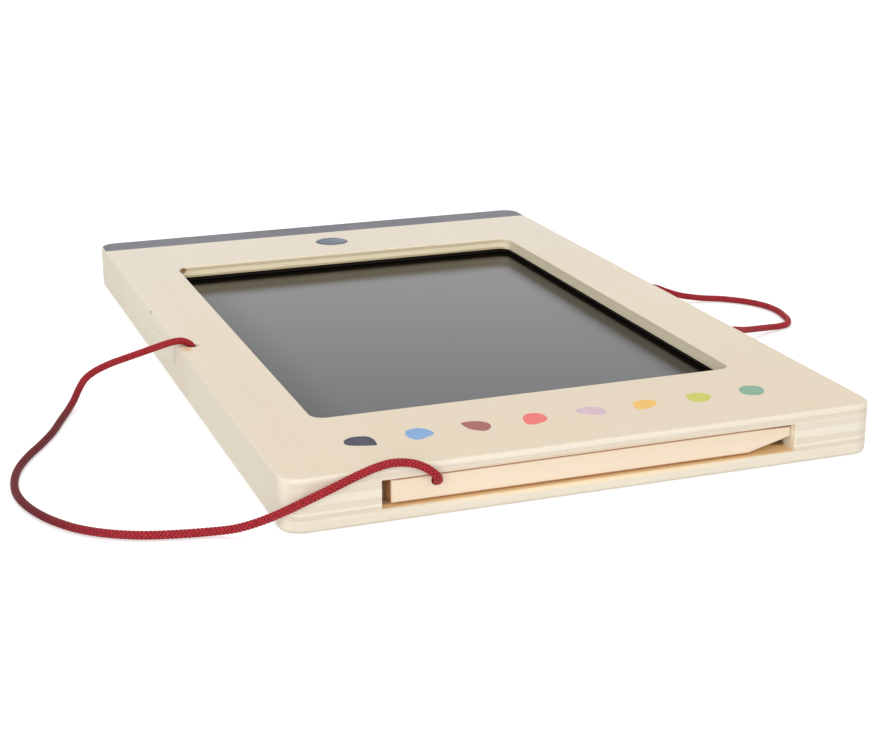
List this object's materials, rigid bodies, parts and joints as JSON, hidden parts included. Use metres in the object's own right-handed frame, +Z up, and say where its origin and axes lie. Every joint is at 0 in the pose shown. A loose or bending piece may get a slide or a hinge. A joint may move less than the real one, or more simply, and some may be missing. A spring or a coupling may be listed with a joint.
{
  "type": "lcd writing tablet",
  "caption": "Flat wooden writing tablet with a recessed LCD film, an erase button, a corded wooden stylus in a slot of its front edge, a carrying loop and a screwed battery door.",
  "frame": {"origin": "middle of the board's underside, on the surface that it lies on", "axes": "+X to the right along the front edge, +Y from the front edge with the stylus slot to the far edge, +Z up out of the screen"},
  "size_m": [0.2828, 0.2724, 0.0181],
  "materials": {
    "plywood": "satin clear lacquer on pale birch plywood",
    "stylus_wood": "sanded pale hardwood",
    "screen_film": "satin gloss film",
    "black_foam": "matt closed-cell foam",
    "black_plastic": "fine moulded texture",
    "grey_plastic": "satin moulded plastic",
    "solder_mask": "green solder mask",
    "amber_film": "polyimide film",
    "steel": "zinc plated",
    "brass": "plain",
    "red_cord": "round braided cord"
  },
  "bodies": {
    "tablet": {"front_panel": "plywood", "core_frame": "plywood", "back_panel": "plywood", "screen_bezel": "black_foam", "lcd_film": "screen_film", "lcd_backing_plate": "black_plastic", "foam_pad_near_left": "black_foam", "foam_pad_near_right": "black_foam", "foam_pad_far_left": "black_foam", "foam_pad_far_right": "black_foam", "circuit_board": "solder_mask", "board_spacer_near_left": "grey_plastic", "board_spacer_far_left": "grey_plastic", "board_spacer_middle": "grey_plastic", "board_screw_near_left": "steel", "board_screw_far_left": "steel", "board_screw_middle": "steel", "controller_chip": "black_plastic", "tact_switch_body": "black_plastic", "flex_connector": "black_plastic", "flex_cable": "amber_film", "battery_holder": "black_plastic", "coin_cell": "steel", "battery_contact_negative": "brass", "battery_contact_positive": "brass", "battery_door": "black_plastic", "battery_door_screw": "steel", "battery_door_insert": "brass", "stylus_cord": "red_cord", "tether_knot": "red_cord", "carry_loop": "red_cord", "carry_loop_knot_far": "red_cord", "carry_loop_knot_near": "red_cord"},
    "stylus": {"stylus": "stylus_wood", "stylus_cord_end": "red_cord"},
    "erase_button": {"erase_button": "grey_plastic", "tact_switch_plunger": "black_plastic"}
  },
  "joints": [
    {"name": "stylus_slide", "type": "slide", "parent": "tablet", "child": "stylus", "axis": [0, -1, 0], "range_m": [0, 0.025]},
    {"name": "erase_button_press", "type": "slide", "parent": "tablet", "child": "erase_button", "axis": [0, 0, 1], "range_m": [-0.0004, 0], "stiffness_N_per_m": 3000, "springref_m": 0.0003}
  ]
}
